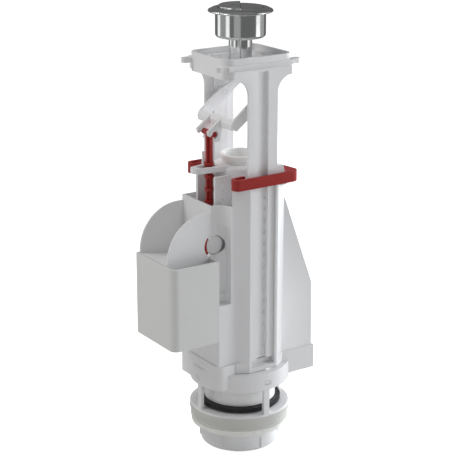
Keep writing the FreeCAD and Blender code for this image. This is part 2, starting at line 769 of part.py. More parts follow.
def make_clamp(name, side):
    """A red band that closes round one leg above its guide and locks the bridge's height."""
    body = new_body(name + "_clamp")
    top = f"{clamp_base} + clamp_height"
    face = on_side(side, "clamp_reach")
    inner_face = on_side(side, "clamp_reach - clamp_band")
    return_face = on_side(side, "clamp_return_face")
    return_back = on_side(side, "clamp_return_face + clamp_band")
    tail = on_side(side, "clamp_tail")
    rise(body, "band", clamp_base, top, polygon(
        ("-clamp_return", return_face), ("-clamp_left", return_face), ("-clamp_left", face),
        ("clamp_right", face), ("clamp_right - clamp_tail_shift", tail),
        ("clamp_right - clamp_tail_shift - clamp_band", tail), ("clamp_right - clamp_band - 0.4", inner_face),
        ("-(clamp_left - clamp_band)", inner_face), ("-(clamp_left - clamp_band)", return_back),
        ("-clamp_return", return_back)))
    reach = size("clamp_reach")

    def outer_left(edge):
        return upright(edge) and edge.CenterOfMass.x < -size("clamp_left") + 0.1

    def outer_right(edge):
        return upright(edge) and edge.CenterOfMass.x > size("clamp_right") - 0.1

    def inner_bends(edge):
        centre = edge.CenterOfMass
        at_left = abs(centre.x + size("clamp_left - clamp_band")) < 0.1
        at_right = abs(centre.x - size("clamp_right - clamp_band - 0.4")) < 0.1
        return upright(edge) and (at_left or at_right) and abs(centre.y) < reach

    soften(body, "left_bends", "clamp_small_bend", outer_left)
    soften(body, "right_bend", "clamp_large_bend", outer_right)
    soften(body, "inner_bends", "clamp_small_bend - clamp_band", inner_bends)
    low, high = side_span(side, "leg_inner + leg_thickness - groove_depth + clamp_key_gap", "clamp_reach - 1")
    rise(body, "key", f"{clamp_base} + 1.5", f"{top} - 1.5",
         rectangle("-clamp_key", "clamp_key", low, high))


def make_bridge():
    """The square collar under the button, with a leg at the front and one at the rear."""
    body = new_body("bridge")
    rise(body, "collar", collar_base, collar_top,
         rectangle("-collar_half_x", "collar_half_x", "-collar_half_y", "collar_half_y"))
    sink(body, "tray", f"{collar_base} + collar_floor", f"{collar_top} + 1",
         rectangle("-(collar_half_x - collar_wall)", "collar_half_x - collar_wall",
                   "-(collar_half_y - collar_wall)", "collar_half_y - collar_wall"))
    soften(body, "collar_corners", "collar_corner",
           lambda edge: upright(edge) and abs(edge.CenterOfMass.x) > size("collar_half_x - 0.1"))
    tray_end = size("collar_half_x - collar_wall")
    soften(body, "tray_corners", "collar_corner - collar_wall",
           lambda edge: upright(edge) and abs(abs(edge.CenterOfMass.x) - tray_end) < 0.1)
    sink(body, "opening", f"{collar_base} - 1", f"{collar_top} + 1",
         rectangle("-collar_opening_x", "collar_opening_x", "-collar_opening_y", "collar_opening_y"))
    ledge_low = f"{collar_top} - ledge_drop"
    ledge_end = "(collar_half_x - collar_wall + 0.1)"
    for name, side in SIDES:
        low, high = side_span(side, "collar_half_y - collar_wall * 0.8", "collar_half_y + ledge_proud")
        rise(body, name + "_ledge", ledge_low, f"{ledge_low} + ledge_height",
             rectangle(f"-{ledge_end}", ledge_end, low, high))
        lug = on_side(side, "collar_half_y - lug_half")
        low, high = side_span(side, "collar_half_y - lug_half * 2", "collar_half_y")
        for end in (-1, 1):
            tag = "left" if end < 0 else "right"
            inner, outer = side_span(end, "collar_half_x - collar_wall", "lug_reach - lug_half")
            rise(body, f"{name}_{tag}_lug", ledge_low, f"{ledge_low} + ledge_height",
                 rectangle(inner, outer, low, high))
            rise(body, f"{name}_{tag}_lug_end", ledge_low, f"{ledge_low} + ledge_height",
                 circle(f"{end} * (lug_reach - lug_half)", lug, "lug_half"))
    outer = "leg_inner + leg_thickness"
    for name, side in SIDES:
        low, high = side_span(side, "leg_inner", outer)
        across(body, name + "_leg", low, high,
               rectangle("-leg_half", "leg_half", f"{skirt_top} + leg_foot_gap", ledge_low))
        across(body, name + "_gussets", low, high,
               rectangle("-(leg_half + gusset_radius)", "leg_half + gusset_radius",
                         f"{collar_base} - gusset_radius", collar_base))
        low, high = side_span(side, "collar_half_y - collar_wall", outer)
        across(body, name + "_root", low, high,
               rectangle("-(leg_half + gusset_radius)", "leg_half + gusset_radius",
                         collar_base, ledge_low))
        for end in (-1, 1):
            tag = "left" if end < 0 else "right"
            low, high = side_span(side, "leg_inner - 1", f"{outer} + 1")
            cut_across(body, f"{name}_{tag}_gusset_arc", low, high,
                       circle(f"{end} * (leg_half + gusset_radius)", f"{collar_base} - gusset_radius",
                              "gusset_radius"))
            low, high = side_span(side, "leg_inner - 1", f"{outer} - leg_sheet")
            left, right = side_span(end, "trough_half", "leg_half + gusset_radius + 1")
            cut_across(body, f"{name}_{tag}_back", low, high,
                       rectangle(left, right, skirt_top, collar_base))
        low, high = side_span(side, f"{outer} - groove_depth", f"{outer} + 1")
        cut_across(body, name + "_groove", low, high,
                   rectangle("-groove_half", "groove_half", f"{skirt_top} - 1", f"{ledge_low} - 2"))
        low, high = side_span(side, f"{outer} - groove_depth - notch_depth", outer)
        notch_low = f"{skirt_top} + notch_pitch"
        notch = sink(body, name + "_notch", notch_low, f"{notch_low} + notch_height",
                     rectangle("groove_half - notch_width", "groove_half", low, high))
        repeat_up(body, notch, "notch_pitch", "notch_count")
        low, high = side_span(side, "arm_outer + pin_run", "leg_inner + 1")
        across(body, name + "_boss", low, high, circle("0", pivot_level, "boss_radius"))
        low, high = side_span(side, "arm_outer - 1", f"{outer} - groove_depth + 0.1")
        cut_across(body, name + "_pin_hole", low, high, circle("0", pivot_level, "pin_radius"))


def make_rocker():
    """The white frame that turns on the legs and lifts the pull rod when a button goes down."""
    body = new_body("rocker")
    arm = polygon(
        ("-bar_left", f"{pivot_level} - bar_top - 3"), ("-(bar_left - 1.6)", f"{pivot_level} - bar_top"),
        ("-4.5", f"{pivot_level} + 1.6"), ("7.5", f"{pivot_level} + 8.4"), ("pad_left", pad_top),
        ("pad_right", pad_top), ("pad_right", f"{pad_top} - pad_thickness - 2"),
        ("9", f"{pivot_level} + 1.5"), ("-(bar_right - 0.6)", f"{pivot_level} - bar_bottom - 0.6"),
        ("-bar_left", f"{pivot_level} - bar_bottom + 2.6"))
    for name, side in SIDES:
        low, high = side_span(side, "arm_outer - arm_thickness", "arm_outer")
        across(body, name + "_arm", low, high, arm)
        cut_across(body, name + "_bearing", low, high, circle("0", pivot_level, "pin_radius + pin_run"))
    bar_level = f"({pivot_level} - bar_top)"
    across(body, "bar", "-(arm_outer - 0.5)", "arm_outer - 0.5",
           polygon(("-bar_left", f"{bar_level} - 7"), ("-bar_left", f"{bar_level} - 3"),
                   ("-(bar_left - 1.6)", bar_level), ("-bar_right", bar_level),
                   ("-bar_right", f"{bar_level} - 2.4"), ("-(bar_left - 2)", f"{bar_level} - 7")))
    across(body, "pad", "-(arm_outer - 0.5)", "arm_outer - 0.5",
           rectangle("pad_left", "pad_right", f"{pad_top} - pad_thickness", pad_top))
    ear = polygon(("-(bar_right - 1)", f"{bar_level} - 0.5"), ("-(bar_left - 1)", f"{bar_level} - 1"),
                  ("-(rod_place + 6)", f"{pin_level} + 2.6"), ("-(rod_place + 5.4)", f"{pin_level} - 0.4"),
                  ("-(rod_place + 3)", f"{pin_level} - 2"), ("-rod_place", f"{pin_level} - 5.2"),
                  ("-(rod_place - 3.6)", f"{pin_level} - 5.2"), ("-(rod_place - 5)", f"{pin_level} - 1"))
    hook = circle("-rod_place", pin_level, "cross_radius + hook_run")
    mouth = polygon(("-(rod_place + 1.2)", f"{pin_level} + 1.2"),
                    ("-(rod_place - 1.6)", f"{pin_level} - 1.6"),
                    ("-(rod_place + 4)", f"{pin_level} - 8"), ("-(rod_place + 8)", f"{pin_level} - 4"))
    for name, side in SIDES:
        low, high = side_span(side, "ear_place - ear_thickness / 2", "ear_place + ear_thickness / 2")
        across(body, name + "_ear", low, high, ear)
        cut_across(body, name + "_hook", low, high, hook)
        cut_across(body, name + "_hook_mouth", low, high, mouth)


def make_pull_rod():
    """The red rod with a cross pin at its top and four knobs, of cross section."""
    body = new_body("pull_rod")
    bottom = f"{pin_level} - rod_length"
    rise(body, "web", bottom, pin_level,
         rectangle("-(rod_place + rod_half)", "-(rod_place - rod_half)", "-rod_web", "rod_web"))
    rise(body, "cross_web", bottom, pin_level,
         rectangle("-(rod_place + rod_web)", "-(rod_place - rod_web)", "-rod_half", "rod_half"))
    outside = "-(rod_place + rod_half + 1)"
    cut_across(body, "slant", "-(rod_half + 1)", "rod_half + 1",
               polygon((outside, f"{bottom} - 1"), ("-(rod_place - 1)", f"{bottom} - 1"),
                       (outside, f"{bottom} + 3")))
    across(body, "cross_pin", "-cross_half", "cross_half", circle("-rod_place", pin_level, "cross_radius"))
    lowest = f"{pin_level} - knob_drop - knob_pitch * (knob_count - 1) - knob_height / 2"
    knob = rise(body, "knob", lowest, f"{lowest} + knob_height", circle("-rod_place", "0", "knob_radius"))
    repeat_up(body, knob, "knob_pitch", "knob_count")


def make_pivot_pins():
    """Two short pins, pressed into the legs, that the rocker turns on."""
    pins = []
    for name, side in SIDES:
        pin = document.addObject("Part::Cylinder", name + "_pivot_pin")
        pin.setExpression("Radius", bound("pin_radius"))
        length = "leg_inner + leg_thickness - groove_depth - arm_outer + arm_thickness"
        pin.setExpression("Height", bound(length))
        pin.Placement = Placement(Vector(), Rotation(Vector(1, 0, 0), -90))
        low, high = side_span(side, "arm_outer - arm_thickness", "leg_inner + leg_thickness - groove_depth")
        pin.setExpression("Placement.Base.y", bound(low))
        pin.setExpression("Placement.Base.z", bound(pivot_level))
        pins.append(pin)
    group = document.addObject("Part::Compound", "pivot_pins")
    group.Links = pins


def make_push_plate():
    """The plate in the collar that carries the large plunger's stroke to the rocker."""
    body = new_body("push_plate")
    rise(body, "plate", push_base, push_top, rectangle("push_left", "push_right", "-push_half", "push_half"))
    soften(body, "corners", "push_corner", upright)


def make_overflow_tube():
    """The overflow pipe on the valve axis, with a rolled rim at the top."""
    body = new_body("overflow_tube")
    inner = "tube_radius - tube_wall"
    spin(body, "pipe", (inner, tube_base), ("tube_radius", tube_base),
         ("tube_radius", f"{tube_top} - rim_height - 1.6"), ("rim_radius - 0.4", f"{tube_top} - rim_height"),
         ("rim_radius", f"{tube_top} - 0.6"), ("rim_radius - 0.6", tube_top),
         (f"{inner} + 0.8", tube_top), (inner, f"{tube_top} - rim_height"))


def make_lift_bracket():
    """The cap on the overflow tube whose tongue reaches out to the pull rod."""
    body = new_body("lift_bracket")
    inner = "tube_radius + tube_fit"
    top = f"{tongue_top} - bracket_step"
    foot = f"{top} - bracket_height"
    spin(body, "cap", (inner, foot), ("bracket_radius", foot),
         ("bracket_radius", f"{top} - bracket_round"),
         ("bracket_radius - bracket_round * 0.3", f"{top} - bracket_round * 0.3"),
         ("bracket_radius - bracket_round", top), (inner, top))
    hub = "tube_radius + bracket_hub"
    rim = "bracket_radius - bracket_wall"
    groove(body, "hollow", (hub, f"{foot} - 1"), (rim, f"{foot} - 1"),
           (rim, f"{top} - bracket_hub"), (hub, f"{top} - bracket_hub"))
    rise(body, "tongue", tongue_base, tongue_top,
         polygon(("-(tube_radius + 1)", "-tongue_root_half"), ("-(tube_radius + 1)", "tongue_root_half"),
                 ("-(tongue_reach - tongue_tip_half)", "tongue_tip_half"),
                 ("-(tongue_reach - tongue_tip_half)", "-tongue_tip_half")))
    rise(body, "tip", tongue_base, tongue_top,
         circle("-(tongue_reach - tongue_tip_half)", "0", "tongue_tip_half"))
    groove(body, "bore", ("0", f"{foot} - 1"), (inner, f"{foot} - 1"), (inner, f"{tongue_top} + 1"),
           ("0", f"{tongue_top} + 1"))
    sink(body, "slot", f"{tongue_base} - 1", f"{tongue_top} + 1",
         rectangle("-tongue_slot_end", "-rod_place", "-tongue_slot_half", "tongue_slot_half"))
    sink(body, "key_hole", f"{tongue_base} - 1", f"{tongue_top} + 1", circle("-rod_place", "0", "key_hole"))
    rise(body, "tab", f"{tongue_top} - 1", f"{tongue_top} + tab_height",
         rectangle("-(rod_place + tab_half)", "-(rod_place - tab_half)",
                   "tab_place - tab_thickness", "tab_place"))


def make_valve_plate():
    """The white bell that presses the seal on the seat."""
    body = new_body("valve_plate")
    inner = "tube_radius + tube_fit"
    spin(body, "bell", (inner, plate_base), ("plate_radius", plate_base),
         ("plate_radius", f"{plate_base} + plate_edge"),
         ("plate_shoulder", f"{plate_base} + plate_shoulder_rise"),
         ("plate_neck", f"{plate_base} + plate_height - 2"),
         ("plate_neck", f"{plate_base} + plate_height"), (inner, f"{plate_base} + plate_height"))


def make_valve_seal():
    """The black rubber ring between the bell and its retainer."""
    body = new_body("valve_seal")
    spin(body, "ring", ("seal_inner", seal_base), ("seal_radius", seal_base),
         ("seal_radius", plate_base), ("seal_inner", plate_base))


def make_seal_retainer():
    """The disc below the seal that holds it to the bell."""
    body = new_body("seal_retainer")
    inner = "tube_radius + tube_fit"
    spin(body, "disc", (inner, tube_base), ("retainer_radius - 2", tube_base),
         ("retainer_radius", f"{tube_base} + 2"), ("retainer_radius", seal_base),
         ("seal_inner - 0.2", seal_base), ("seal_inner - 0.2", plate_base), (inner, plate_base))


def make_main_float():
    """The float on the overflow tube that holds the valve open while the water runs out."""
    body = new_body("main_float")
    outline = (("-float_left", float_base), ("float_right", float_base), ("float_right", float_bend),
               ("float_shoulder", float_top), ("-float_left", float_top))
    across(body, "block", "-float_half", "float_half", polygon(*outline))
    soften(body, "corners", "float_corner", upright)
    sink(body, "bore", f"{float_base} - 1", f"{float_top} + 1", circle("0", "0", "tube_radius + float_fit"))
    sink(body, "hollow", float_base, float_bend,
         rectangle("tube_radius + float_fit + float_wall", "float_right - float_wall",
                   "-(float_half - float_wall)", "float_half - float_wall"))


def make_side_float():
    """The small float that rides up and down in the side cup, under the deck."""
    body = new_body("side_float")
    low = f"{cup_base} + cup_floor + clip_gap"
    left = "-(cup_reach - cup_wall - side_float_gap)"
    right = "-(housing_left + cup_wall + side_float_gap)"
    near = "-(near_fan - fan_wall - side_float_gap)"
    far = "cup_half - cup_wall - cup_fit - fan_wall - side_float_gap"
    rise(body, "block", low, f"{low} + side_float_height", rectangle(left, right, near, far))
    soften(body, "corners", "side_float_corner", upright)
    sink(body, "hollow", low, f"{low} + side_float_height - 2.5",
         rectangle(f"{left} + 4", f"{right} - 4", f"{near} + 4", f"{far} - 4"))


def turned(body, height="0"):
    """Turn a piece of the button about the valve axis, and lift it."""
    body.Placement = Placement(Vector(), Rotation(Vector(0, 0, 1), 10))
    body.setExpression("Placement.Rotation.Angle", bound("button_turn"))
    body.setExpression("Placement.Base.z", bound(height))


def make_button_body():
    """The chromed cup that hangs in the lid of the cistern."""
    body = new_body("button_body")
    inner = "body_radius - body_wall"
    bore = "half_radius + half_fit"
    spin(body, "cup", ("plunger_radius + plunger_run", body_base), ("body_radius", body_base),
         ("body_radius", body_top), ("cap_radius - 0.6", body_top), ("cap_radius", f"{body_top} + 0.6"),
         ("cap_radius - 0.5", f"{body_top} + cap_edge"), ("cap_radius - 3", f"{cap_top} - 0.7"),
         (f"{bore} + 0.8", cap_top), (bore, f"{cap_top} - 0.5"), (bore, body_top), (inner, body_top),
         (inner, f"{body_base} + body_floor"), ("plunger_radius + plunger_run", f"{body_base} + body_floor"))
    soften(body, "foot_round", "body_round",
           lambda edge: len(edge.Vertexes) == 1 and edge.BoundBox.XMax > size("body_radius") - 0.1
           and abs(edge.BoundBox.XMax - size("body_radius")) < 0.1
           and edge.BoundBox.ZMax < min(other.BoundBox.ZMax for other in body.Tip.Shape.Edges) + 0.1)
    turned(body)


def make_button_half(name, end, lift):
    """One of the two pressing plates on top of the button."""
    body = new_body(name + "_button")
    top = f"{half_base} + half_thickness + {lift}"
    spin(body, "disc", ("0", half_base), ("half_radius", half_base), ("half_radius", f"{top} - 1.2"),
         ("half_radius - 1.2", f"{top} - 0.3"), ("half_radius - 4", top), ("0", top))
    low, high = side_span(-end, "-split_gap / 2", "half_radius + 2")
    sink(body, "split", f"{half_base} - 1", f"{top} + 1",
         rectangle(low, high, "-(half_radius + 2)", "half_radius + 2"))
    turned(body)


def make_plunger(name, end, low_level):
    """The half-round rod that one button half pushes down."""
    body = new_body(name + "_plunger")
    rise(body, "rod", low_level, half_base, circle("0", "0", "plunger_radius"))
    low, high = side_span(-end, "-split_gap / 2", "plunger_radius + 2")
    sink(body, "split", f"{low_level} - 1", f"{half_base} + 1",
         rectangle(low, high, "-(plunger_radius + 2)", "plunger_radius + 2"))
    turned(body)


def make_spring(name, end):
    """The coil that lifts one button half again."""
    body = new_body(name + "_spring")
    sketch = new_sketch(body, "wire", "XZ_Plane", "0", [circle("coil_radius", "coil_wire", "coil_wire")])
    coil = body.newObject("PartDesign::AdditiveHelix", name + "_coil")
    coil.Profile = sketch
    coil.ReferenceAxis = (sketch, ["V_Axis"])
    coil.Mode = 2
    rise_text = f"({half_base} - {body_base} - body_floor - coil_wire * 2)"
    coil.setExpression("Height", bound(rise_text))
    coil.setExpression("Turns", bound("coil_turns"))
    body.setExpression("Placement.Base.x", bound(f"{end} * coil_place * cos(button_turn)"))
    body.setExpression("Placement.Base.y", bound(f"{end} * coil_place * sin(button_turn)"))
    body.setExpression("Placement.Base.z", bound(f"{body_base} + body_floor"))


make_outlet_spigot()
make_cistern_seal()
make_valve_basket()
make_base_skirt()
make_housing_shell()
make_side_cup()
make_chamber_walls()
make_rod_guide()
make_volume_clip()
for side_name, side_sign in SIDES:
    make_clamp(side_name, side_sign)
make_bridge()
make_rocker()
make_pull_rod()
make_pivot_pins()
make_push_plate()
make_overflow_tube()
make_lift_bracket()
make_valve_plate()
make_valve_seal()
make_seal_retainer()
make_main_float()
make_side_float()
make_button_body()
make_button_half("large", 1, "0")
make_button_half("small", -1, "small_lift")
make_plunger("large", 1, f"({push_top} + push_gap)")
make_plunger("small", -1, f"({push_top} + small_stop)")
make_spring("large", 1)
make_spring("small", -1)
document.recompute()

pieces = [item for item in document.Objects if item.TypeId in ("PartDesign::Body", "Part::Compound")]
failed = [item.Name for item in document.Objects if "Invalid" in item.State or "Error" in item.State]
if failed:
    raise RuntimeError("features that failed: " + ", ".join(failed))
for piece in pieces:
    if piece.Shape.isNull() or not piece.Shape.isValid():
        raise RuntimeError("no valid shape: " + piece.Label)
os.makedirs("parts", exist_ok=True)
for piece in pieces:
    piece.Shape.exportStep(f"parts/{piece.Label}.step")
print(f"{len(pieces)} pieces written")
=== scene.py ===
import math

import bmesh
import bpy
from mathutils import Euler, Matrix, Vector


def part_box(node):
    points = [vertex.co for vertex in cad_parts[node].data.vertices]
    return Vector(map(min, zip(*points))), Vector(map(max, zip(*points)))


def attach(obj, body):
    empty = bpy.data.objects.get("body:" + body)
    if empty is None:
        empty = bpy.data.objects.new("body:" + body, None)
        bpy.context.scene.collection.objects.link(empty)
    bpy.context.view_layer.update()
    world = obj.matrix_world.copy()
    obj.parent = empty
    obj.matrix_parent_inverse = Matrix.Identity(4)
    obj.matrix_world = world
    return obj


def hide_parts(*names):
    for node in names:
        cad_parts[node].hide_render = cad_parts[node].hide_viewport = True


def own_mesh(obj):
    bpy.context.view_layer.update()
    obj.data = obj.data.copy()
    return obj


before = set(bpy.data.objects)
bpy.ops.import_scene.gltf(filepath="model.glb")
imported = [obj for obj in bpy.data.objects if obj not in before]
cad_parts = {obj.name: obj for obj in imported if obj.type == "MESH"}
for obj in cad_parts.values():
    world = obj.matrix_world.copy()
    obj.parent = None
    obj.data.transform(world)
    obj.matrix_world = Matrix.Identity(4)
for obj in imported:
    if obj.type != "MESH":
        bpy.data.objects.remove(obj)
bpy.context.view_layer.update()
mm = 0.001

# Outlet spigot
# The short pipe through the cistern floor, injection moulded in white plastic with six small
# ribs. It is made in one shot with the lower ring of the flange, so it has soft moulded edges.
# The side of the flange faces down and is painted grey as painted shade, here as on the seal's rim and on
# the basket's ring.


class Value:
    """A shader socket that can be used in sums."""

    def __init__(self, surface, socket):
        self.surface = surface
        self.socket = socket

    def sum_of(self, operation, first, second):
        return self.surface.node("ShaderNodeMath", {"operation": operation}, {0: first, 1: second})

    def __add__(self, other):
        return self.sum_of("ADD", self, other)

    def __radd__(self, other):
        return self.sum_of("ADD", other, self)

    def __sub__(self, other):
        return self.sum_of("SUBTRACT", self, other)

    def __mul__(self, other):
        return self.sum_of("MULTIPLY", self, other)


class Surface:
    """A material, with one method that adds any node to it."""

    def __init__(self, name):
        self.material = bpy.data.materials.new(name)
        self.material.use_nodes = True
        self.tree = self.material.node_tree
        self.shader = self.tree.nodes["Principled BSDF"]
        place = self.tree.nodes.new("ShaderNodeTexCoord")
        self.place = Value(self, place.outputs["Object"])

    def feed(self, socket, value):
        if isinstance(value, Value):
            self.tree.links.new(value.socket, socket)
        elif socket.type == "RGBA":
            socket.default_value = (*value, 1.0)
        else:
            socket.default_value = value

    def node(self, kind, settings, sockets, output=0):
        made = self.tree.nodes.new(kind)
        for key, setting in settings.items():
            setattr(made, key, setting)
        for key, value in sockets.items():
            self.feed(made.inputs[key], value)
        return Value(self, made.outputs[output])

    def noise(self, size, detail=2.0):
        """A cloud of about the given size in metres, from 0 to 1."""
        sockets = {"Vector": self.place, "Scale": 1 / size, "Detail": detail}
        return self.node("ShaderNodeTexNoise", {}, sockets)

    def between(self, factor, first, second):
        """A mix of two colours, which have the sockets 6 and 7 of the node and its output 2."""
        sockets = {0: factor, 6: first, 7: second}
        return self.node("ShaderNodeMix", {"data_type": "RGBA"}, sockets, output=2)

    def rough(self, height, distance):
        sockets = {"Strength": 1.0, "Distance": distance, "Height": height}
        self.set(Normal=self.node("ShaderNodeBump", {}, sockets))

    def set(self, **sockets):
        for name, value in sockets.items():
            self.feed(self.shader.inputs[name.replace("_", " ")], value)


def moulded_plastic(name, colour, shade, gloss, grain=0.35 * mm):
    """A moulded plastic: faint clouds in its colour, flow marks in its gloss and a fine grain."""
    cloud_size = 22 * mm
    flow_size = 7 * mm
    dimple_size = 3.2 * mm
    relief = 0.045 * mm
    cloud_share = 0.7
    flow_share = 0.3
    flow_gloss = 0.16
    grain_gloss = 0.08
    grain_height = 0.35
    surface = Surface(name)
    cloud = surface.noise(cloud_size, detail=3.0)
    flow = surface.noise(flow_size, detail=4.0)
    fine = surface.noise(grain)
    dimples = surface.noise(dimple_size)
    surface.set(
        Base_Color=surface.between(cloud * cloud_share + flow * flow_share, colour, shade),
        Roughness=gloss + (flow - 0.5) * flow_gloss + (fine - 0.5) * grain_gloss,
        IOR=1.47,
        Specular_IOR_Level=0.42,
    )
    surface.rough(fine * grain_height + dimples, relief)
    return surface.material


def dress(node, body, material, edge=0.35 * mm):
    """A finished copy of a construction piece: one closed skin with rounded edges and smooth curves."""
    weld_distance = 0.002 * mm
    flat_angle = 0.6
    crease_angle = 32
    bevel_angle = 35
    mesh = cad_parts[node].data.copy()
    skin = bmesh.new()
    skin.from_mesh(mesh)
    bmesh.ops.remove_doubles(skin, verts=skin.verts, dist=weld_distance)
    bmesh.ops.dissolve_limit(skin, angle_limit=math.radians(flat_angle), verts=skin.verts,
                             edges=skin.edges)
    skin.to_mesh(mesh)
    skin.free()
    mesh.materials.clear()
    mesh.materials.append(material)
    for polygon in mesh.polygons:
        polygon.material_index = 0
        polygon.use_smooth = True
    mesh.set_sharp_from_angle(angle=math.radians(crease_angle))
    piece = bpy.data.objects.new("finished_" + node, mesh)
    bpy.context.scene.collection.objects.link(piece)
    if edge:
        bevel = piece.modifiers.new("edge", "BEVEL")
        bevel.width = edge
        bevel.segments = 2
        bevel.limit_method = "ANGLE"
        bevel.angle_limit = math.radians(bevel_angle)
        bevel.harden_normals = True
        bevel.use_clamp_overlap = True
    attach(piece, body)
    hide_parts(node)
    return piece


def side_band(piece, low, high, reach, material):
    """Another material on the side of a round piece, between two heights and outside a radius."""
    piece.data.materials.append(material)
    skin = bmesh.new()
    skin.from_mesh(piece.data)
    for level in (low, high):
        bmesh.ops.bisect_plane(skin, geom=skin.verts[:] + skin.edges[:] + skin.faces[:],
                               plane_co=(0, 0, level), plane_no=(0, 0, 1))
    for face in skin.faces:
        middle = face.calc_center_median()
        if low < middle.z < high and middle.xy.length > reach:
            face.material_index = 1
    skin.to_mesh(piece.data)
    skin.free()


white = moulded_plastic("white_plastic", (0.84, 0.84, 0.85), (0.88, 0.88, 0.89), gloss=0.34)
# A grey painted as painted shade on the downward-facing sides of the flange, the seal and the basket.
painted_shade_grey = moulded_plastic("painted_shade_grey", (0.61, 0.61, 0.58), (0.66, 0.66, 0.63), gloss=0.55,
                              grain=0.6 * mm)
spigot = dress("outlet_spigot", "root", white)
# The side of the flange is painted grey here as painted shade.
side_band(spigot, low=20 * mm, high=29 * mm, reach=36 * mm, material=painted_shade_grey)

# Cistern seal
# A soft tapered ring that is pushed up the spigot under the flange. It is cast in a pale
# rubber with a satin skin that takes a little dust. Its colour is set a little lighter than the white,
# partly as painted light on its lit lip.
# A pale rubber, set lighter than the white partly as painted light for the lit lip.
pale_rubber_painted_light = moulded_plastic("pale_rubber_painted_light", (0.88, 0.88, 0.86), (0.92, 0.92, 0.90), gloss=0.62,
                              grain=0.6 * mm)
seal = dress("cistern_seal", "root", pale_rubber_painted_light, edge=0.5 * mm)
# The seal's rim is painted grey here as painted shade.
side_band(seal, low=20.4 * mm, high=22.5 * mm, reach=36 * mm, material=painted_shade_grey)

# Its outer lip stands upright before it tapers to the pipe.
lip_low = 15 * mm
lip_high = 19 * mm
lip_inside = 32 * mm
lip_radius = 36.8 * mm
lip_level = 16.6 * mm
for vertex in seal.data.vertices:
    flat = vertex.co.xy
    if lip_low < vertex.co.z < lip_high and flat.length > lip_inside:
        flat *= lip_radius / flat.length
        vertex.co = (flat.x, flat.y, lip_level)

# Valve basket
# The upper flange with the valve's seat and four snap posts, moulded in the same white plastic
# as the spigot and fixed on it from above.
basket = dress("valve_basket", "root", white)
# The basket's ring is painted grey here as painted shade.
side_band(basket, low=26 * mm, high=31 * mm, reach=37 * mm, material=painted_shade_grey)

# Valve bell, seal and retainer
# The bell presses a black rubber ring on the seat. The retainer disc clips in from below and
# traps the ring, and all three sit on the foot of the overflow tube.
black_rubber = moulded_plastic("black_rubber", (0.012, 0.012, 0.013), (0.022, 0.022, 0.023),
                               gloss=0.48, grain=0.5 * mm)
# A lighter copy of the white, painted as painted light on the bell and the overflow tube where they stand
# in shade.
painted_light_white = moulded_plastic("painted_light_white_plastic", (0.93, 0.93, 0.92), (0.95, 0.95, 0.94), gloss=0.40)
dress("valve_plate", "lift", painted_light_white)
dress("valve_seal", "lift", black_rubber, edge=0.3 * mm)
dress("seal_retainer", "lift", white)

# Overflow tube and main float
# A straight extruded pipe with a rolled rim. The float is blow moulded and sits on the pipe
# inside the housing.
# The tube is painted in the lighter white as painted light.
dress("overflow_tube", "lift", painted_light_white, edge=0.25 * mm)
dress("main_float", "lift", white)

# Base skirt
# The lower shell of the housing, with a round band in which the four posts of the basket snap.
# It is moulded in the white plastic of the housing, with a seam where the two meet.
dress("base_skirt", "root", white)

# Housing shell
# The tall tapering casing, moulded with the guide channels of the legs and with the concave
# scoop beside the adjusting slot. Its walls are thin and its edges crisp.
dress("housing_shell", "root", white, edge=0.3 * mm)

# Side cup, chamber walls and side float
# An open cup hung on the housing, painted in a darker white as painted shade. Two quarter-round walls
# are set in it and guide the float that ends the small flush.
# A darker copy of the white, painted on the cup as painted shade.
painted_shade_white = moulded_plastic("painted_shade_white_plastic", (0.74, 0.74, 0.735), (0.78, 0.78, 0.775), gloss=0.36)
dress("side_cup", "root", painted_shade_white, edge=0.4 * mm)
dress("chamber_walls", "root", white)
dress("side_float", "side_float", white)

# Rod guide and volume clip
# The guide is an upright channel for the pull rod with three small beads outside. The clip is
# a red crescent that turns in a round hole and sets the small flush.
red = moulded_plastic("red_plastic", (0.33, 0.022, 0.020), (0.40, 0.030, 0.026), gloss=0.32)
dress("rod_guide", "root", white)
dress("volume_clip", "volume_clip", red, edge=0.2 * mm)

# Height clamps
# Two springy red bands that snap round the legs and hold the bridge at its height. Each is
# pulled off its leg while the height is set.
dress("front_clamp", "front_clamp", red, edge=0.3 * mm)
dress("rear_clamp", "rear_clamp", red, edge=0.3 * mm)

# Bridge
# The square collar with its two toothed legs, moulded in one piece. Two short pins pressed in
# the legs carry the rocker.
dress("bridge", "bridge", white, edge=0.3 * mm)
dress("pivot_pins", "bridge", white, edge=0.2 * mm)

# Rocker and push plate
# The rocker is a frame of two arms, a cross bar and a rear pad. The push plate lies on the pad.
dress("rocker", "rocker", white, edge=0.3 * mm)
dress("push_plate", "push_plate", white)

# Pull rod and lift bracket
# The red rod hangs by its cross pin in the rocker's ears and lifts the tongue of the bracket
# with one of its knobs.
dress("pull_rod", "pull_rod", red, edge=0.2 * mm)
dress("lift_bracket", "lift", white, edge=0.3 * mm)

# Button
# The cup, the two pressing plates and their half-round plungers are plastic with a bright
# chrome plating.
haze_size = 9 * mm
speck_size = 0.8 * mm
plating_relief = 0.006 * mm
polish = 0.10
haze_gloss = 0.07
chrome = Surface("chrome")
haze = chrome.noise(haze_size, detail=3.0)
speck = chrome.noise(speck_size)
chrome.set(
    Base_Color=chrome.between(haze, (0.70, 0.71, 0.71), (0.78, 0.79, 0.79)),
    Metallic=1.0,
    Roughness=polish + haze * haze_gloss,
)
chrome.rough(speck, plating_relief)
dress("button_body", "button", chrome.material, edge=0.25 * mm)
large_half = dress("large_button", "large_button", chrome.material, edge=0.3 * mm)
small_half = dress("small_button", "small_button", chrome.material, edge=0.3 * mm)

